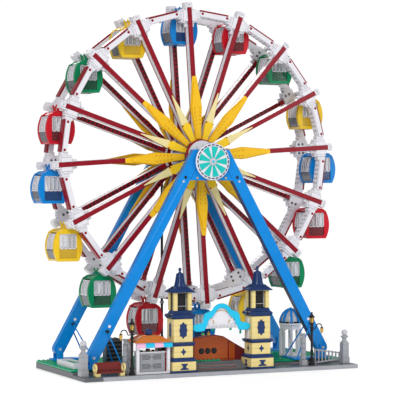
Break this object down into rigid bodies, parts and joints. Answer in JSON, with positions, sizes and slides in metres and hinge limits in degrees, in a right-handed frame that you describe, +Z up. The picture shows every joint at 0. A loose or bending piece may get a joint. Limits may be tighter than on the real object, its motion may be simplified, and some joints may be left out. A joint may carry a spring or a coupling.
{
  "type": "toy ferris wheel",
  "caption": "Toy ferris wheel of plastic bricks on a studded base, with hanging gondolas that stay level, two A-frames, towers, a sign and a small fairground entrance.",
  "frame": {"origin": "on the ground, under the middle of the base", "axes": "+X to the right along the entrance, +Y away from the entrance towards the rear, +Z up; the wheel's axle lies along Y"},
  "size_m": [0.5748, 0.24, 0.6419],
  "materials": {
    "white": "gloss",
    "dark_red": "gloss",
    "petal_yellow": "gloss",
    "frame_blue": "gloss",
    "cabin_blue": "gloss",
    "cabin_yellow": "gloss",
    "cabin_green": "gloss",
    "cabin_red": "gloss",
    "axle_grey": "gloss",
    "base_grey": "gloss",
    "light_grey": "gloss",
    "base_green": "gloss",
    "cream": "gloss",
    "navy": "gloss",
    "turquoise": "gloss",
    "orange_brown": "gloss",
    "black": "gloss"
  },
  "bodies": {
    "stand": {"front_frame": "frame_blue", "back_frame": "frame_blue", "front_disc": "white", "front_left_foot": "frame_blue", "front_right_foot": "frame_blue", "back_left_foot": "frame_blue", "back_right_foot": "frame_blue", "base_deck": "base_grey", "deck_plates": "base_green", "kerb": "light_grey", "left_tower": "cream", "left_tower_roof": "navy", "right_tower": "cream", "right_tower_roof": "navy", "sign_arch": "turquoise", "sign_panel": "white", "platform_wall": "orange_brown", "platform_steps": "base_grey", "booth_cabinets": "light_grey", "booth_posts": "white", "booth_roof": "orange_brown", "left_pillar": "light_grey", "left_column": "light_grey", "right_column": "light_grey", "railing": "light_grey", "left_lamp": "black", "right_lamp": "black", "bench": "dark_red", "pavilion": "white", "planter": "white", "machine_housing": "base_grey", "drive_shaft": "black"},
    "wheel": {"front_rim": "white", "back_rim": "white", "front_spokes": "white", "back_spokes": "white", "front_spoke_tiles": "dark_red", "back_spoke_tiles": "dark_red", "front_petals": "petal_yellow", "back_petals": "petal_yellow", "front_hub": "white", "back_hub": "white", "axle": "axle_grey"},
    "cabin_body_01": {"gondola_01": "cabin_blue"},
    "cabin_body_02": {"gondola_02": "cabin_yellow"},
    "cabin_body_03": {"gondola_03": "cabin_green"},
    "cabin_body_04": {"gondola_04": "cabin_red"},
    "cabin_body_05": {"gondola_05": "cabin_blue"},
    "cabin_body_06": {"gondola_06": "cabin_yellow"},
    "cabin_body_07": {"gondola_07": "cabin_green"},
    "cabin_body_08": {"gondola_08": "cabin_red"},
    "cabin_body_09": {"gondola_09": "cabin_blue"},
    "cabin_body_10": {"gondola_10": "cabin_yellow"},
    "cabin_body_11": {"gondola_11": "cabin_green"},
    "cabin_body_12": {"gondola_12": "cabin_red"},
    "cabin_body_13": {"gondola_13": "cabin_blue"},
    "cabin_body_14": {"gondola_14": "cabin_yellow"},
    "cabin_body_15": {"gondola_15": "cabin_green"},
    "cabin_body_16": {"gondola_16": "cabin_red"}
  },
  "joints": [
    {"name": "wheel_spin", "type": "hinge", "parent": "stand", "child": "wheel", "pos_m": [0, 0.038, 0.372], "axis": [0, 1, 0], "continuous": true},
    {"name": "swing_01", "type": "hinge", "parent": "wheel", "child": "cabin_body_01", "pos_m": [-0.01768, 0.038, 0.6334], "axis": [0, 1, 0], "continuous": true},
    {"name": "swing_02", "type": "hinge", "parent": "wheel", "child": "cabin_body_02", "pos_m": [-0.11637, 0.038, 0.60674], "axis": [0, 1, 0], "continuous": true},
    {"name": "swing_03", "type": "hinge", "parent": "wheel", "child": "cabin_body_03", "pos_m": [-0.19734, 0.038, 0.54434], "axis": [0, 1, 0], "continuous": true},
    {"name": "swing_04", "type": "hinge", "parent": "wheel", "child": "cabin_body_04", "pos_m": [-0.24827, 0.038, 0.4557], "axis": [0, 1, 0], "continuous": true},
    {"name": "swing_05", "type": "hinge", "parent": "wheel", "child": "cabin_body_05", "pos_m": [-0.2614, 0.038, 0.35432], "axis": [0, 1, 0], "continuous": true},
    {"name": "swing_06", "type": "hinge", "parent": "wheel", "child": "cabin_body_06", "pos_m": [-0.23474, 0.038, 0.25563], "axis": [0, 1, 0], "continuous": true},
    {"name": "swing_07", "type": "hinge", "parent": "wheel", "child": "cabin_body_07", "pos_m": [-0.17234, 0.038, 0.17466], "axis": [0, 1, 0], "continuous": true},
    {"name": "swing_08", "type": "hinge", "parent": "wheel", "child": "cabin_body_08", "pos_m": [-0.0837, 0.038, 0.12373], "axis": [0, 1, 0], "continuous": true},
    {"name": "swing_09", "type": "hinge", "parent": "wheel", "child": "cabin_body_09", "pos_m": [0.01768, 0.038, 0.1106], "axis": [0, 1, 0], "continuous": true},
    {"name": "swing_10", "type": "hinge", "parent": "wheel", "child": "cabin_body_10", "pos_m": [0.11637, 0.038, 0.13726], "axis": [0, 1, 0], "continuous": true},
    {"name": "swing_11", "type": "hinge", "parent": "wheel", "child": "cabin_body_11", "pos_m": [0.19734, 0.038, 0.19966], "axis": [0, 1, 0], "continuous": true},
    {"name": "swing_12", "type": "hinge", "parent": "wheel", "child": "cabin_body_12", "pos_m": [0.24827, 0.038, 0.2883], "axis": [0, 1, 0], "continuous": true},
    {"name": "swing_13", "type": "hinge", "parent": "wheel", "child": "cabin_body_13", "pos_m": [0.2614, 0.038, 0.38968], "axis": [0, 1, 0], "continuous": true},
    {"name": "swing_14", "type": "hinge", "parent": "wheel", "child": "cabin_body_14", "pos_m": [0.23474, 0.038, 0.48837], "axis": [0, 1, 0], "continuous": true},
    {"name": "swing_15", "type": "hinge", "parent": "wheel", "child": "cabin_body_15", "pos_m": [0.17234, 0.038, 0.56934], "axis": [0, 1, 0], "continuous": true},
    {"name": "swing_16", "type": "hinge", "parent": "wheel", "child": "cabin_body_16", "pos_m": [0.0837, 0.038, 0.62027], "axis": [0, 1, 0], "continuous": true}
  ],
  "couplings": [
    {"joint": "swing_01", "follows": "wheel_spin", "ratio": -1},
    {"joint": "swing_02", "follows": "wheel_spin", "ratio": -1},
    {"joint": "swing_03", "follows": "wheel_spin", "ratio": -1},
    {"joint": "swing_04", "follows": "wheel_spin", "ratio": -1},
    {"joint": "swing_05", "follows": "wheel_spin", "ratio": -1},
    {"joint": "swing_06", "follows": "wheel_spin", "ratio": -1},
    {"joint": "swing_07", "follows": "wheel_spin", "ratio": -1},
    {"joint": "swing_08", "follows": "wheel_spin", "ratio": -1},
    {"joint": "swing_09", "follows": "wheel_spin", "ratio": -1},
    {"joint": "swing_10", "follows": "wheel_spin", "ratio": -1},
    {"joint": "swing_11", "follows": "wheel_spin", "ratio": -1},
    {"joint": "swing_12", "follows": "wheel_spin", "ratio": -1},
    {"joint": "swing_13", "follows": "wheel_spin", "ratio": -1},
    {"joint": "swing_14", "follows": "wheel_spin", "ratio": -1},
    {"joint": "swing_15", "follows": "wheel_spin", "ratio": -1},
    {"joint": "swing_16", "follows": "wheel_spin", "ratio": -1}
  ]
}
